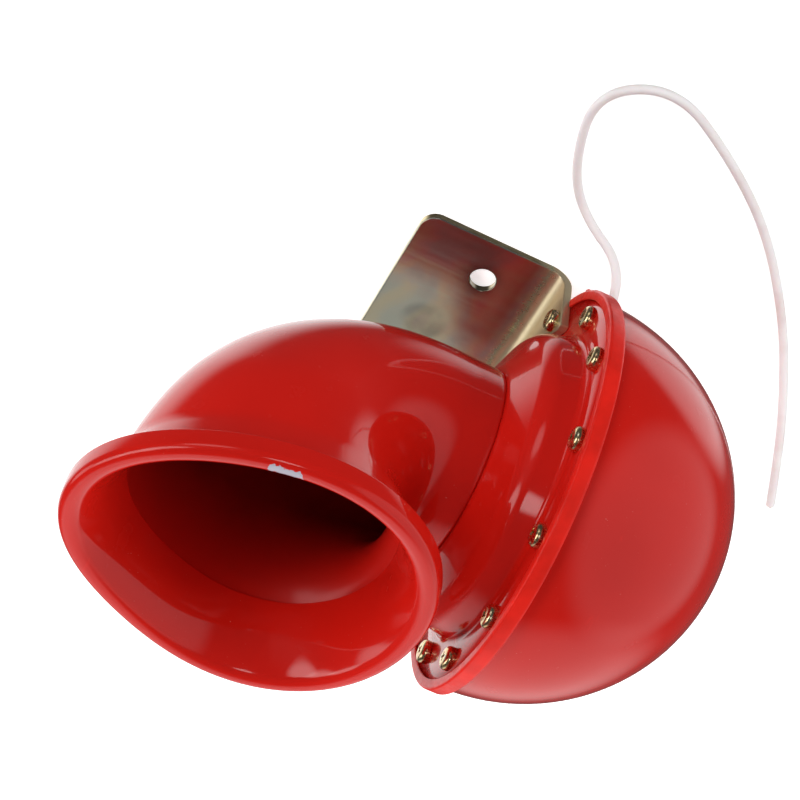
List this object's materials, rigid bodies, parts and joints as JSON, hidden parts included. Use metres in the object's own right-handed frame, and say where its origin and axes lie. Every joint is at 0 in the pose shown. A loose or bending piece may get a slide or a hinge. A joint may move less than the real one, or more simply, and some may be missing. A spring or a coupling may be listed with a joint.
{
  "type": "car horn",
  "caption": "Motor-driven car horn: a domed red body behind a screwed cover, a bent trumpet with a rolled mouth, an L-shaped bracket and one loose supply lead.",
  "frame": {"origin": "midway between the two bracket holes, on the bracket plate's outer face", "axes": "+X from the dome towards the trumpet, along the horn's axis; +Z away from the bracket plate, the way the trumpet's mouth opens; +Y across"},
  "size_m": [0.2442, 0.1864, 0.1549],
  "materials": {
    "red_enamel": "gloss",
    "red_trumpet_enamel": "gloss",
    "red_edging": "satin",
    "yellow_zinc_plate": "yellow passivated zinc, semi-gloss",
    "yellow_zinc_screw": "yellow passivated zinc, gloss",
    "plain_steel": "satin",
    "spring_steel": "satin",
    "hard_steel": "ground",
    "gasket_board": "matt",
    "zinc_can": "bright zinc",
    "cap_plastic": "moulded",
    "brass": "satin",
    "sintered_bronze": "matt",
    "ferrite": "matt",
    "core_steel": "varnished laminations",
    "copper_wire": "enamelled wire",
    "commutator_copper": "turned",
    "carbon": "pressed",
    "black_rubber": "matt",
    "white_insulation": "satin"
  },
  "bodies": {
    "root": {"rear_dome": "red_enamel", "front_cover": "red_enamel", "trumpet_elbow": "red_trumpet_enamel", "bell_mouth": "red_trumpet_enamel", "edge_band": "red_edging", "mounting_bracket": "yellow_zinc_plate", "flange_screws": "yellow_zinc_screw", "bracket_screws": "yellow_zinc_screw", "threaded_ring": "plain_steel", "rear_gasket": "gasket_board", "front_gasket": "gasket_board", "diaphragm": "spring_steel", "anvil_stud": "hard_steel", "anvil_washers": "plain_steel", "anvil_nut": "plain_steel", "motor_bridge": "plain_steel", "bridge_screws": "yellow_zinc_screw", "motor_screws": "yellow_zinc_screw", "motor_can": "zinc_can", "motor_end_cap": "cap_plastic", "motor_terminals": "brass", "front_bush": "sintered_bronze", "rear_bush": "sintered_bronze", "field_magnets": "ferrite", "brushes": "carbon", "brush_holders": "brass", "lead_grommet": "black_rubber", "supply_lead": "white_insulation", "inner_lead": "white_insulation"},
    "rotor": {"motor_shaft": "hard_steel", "rotor_core": "core_steel", "rotor_windings": "copper_wire", "commutator": "commutator_copper", "ratchet_wheel": "hard_steel", "wheel_set_screw": "hard_steel"}
  },
  "joints": [
    {"name": "rotor_spin", "type": "hinge", "parent": "root", "child": "rotor", "pos_m": [-0.0285, 0.0115, 0.075], "axis": [1, 0, 0], "continuous": true}
  ]
}
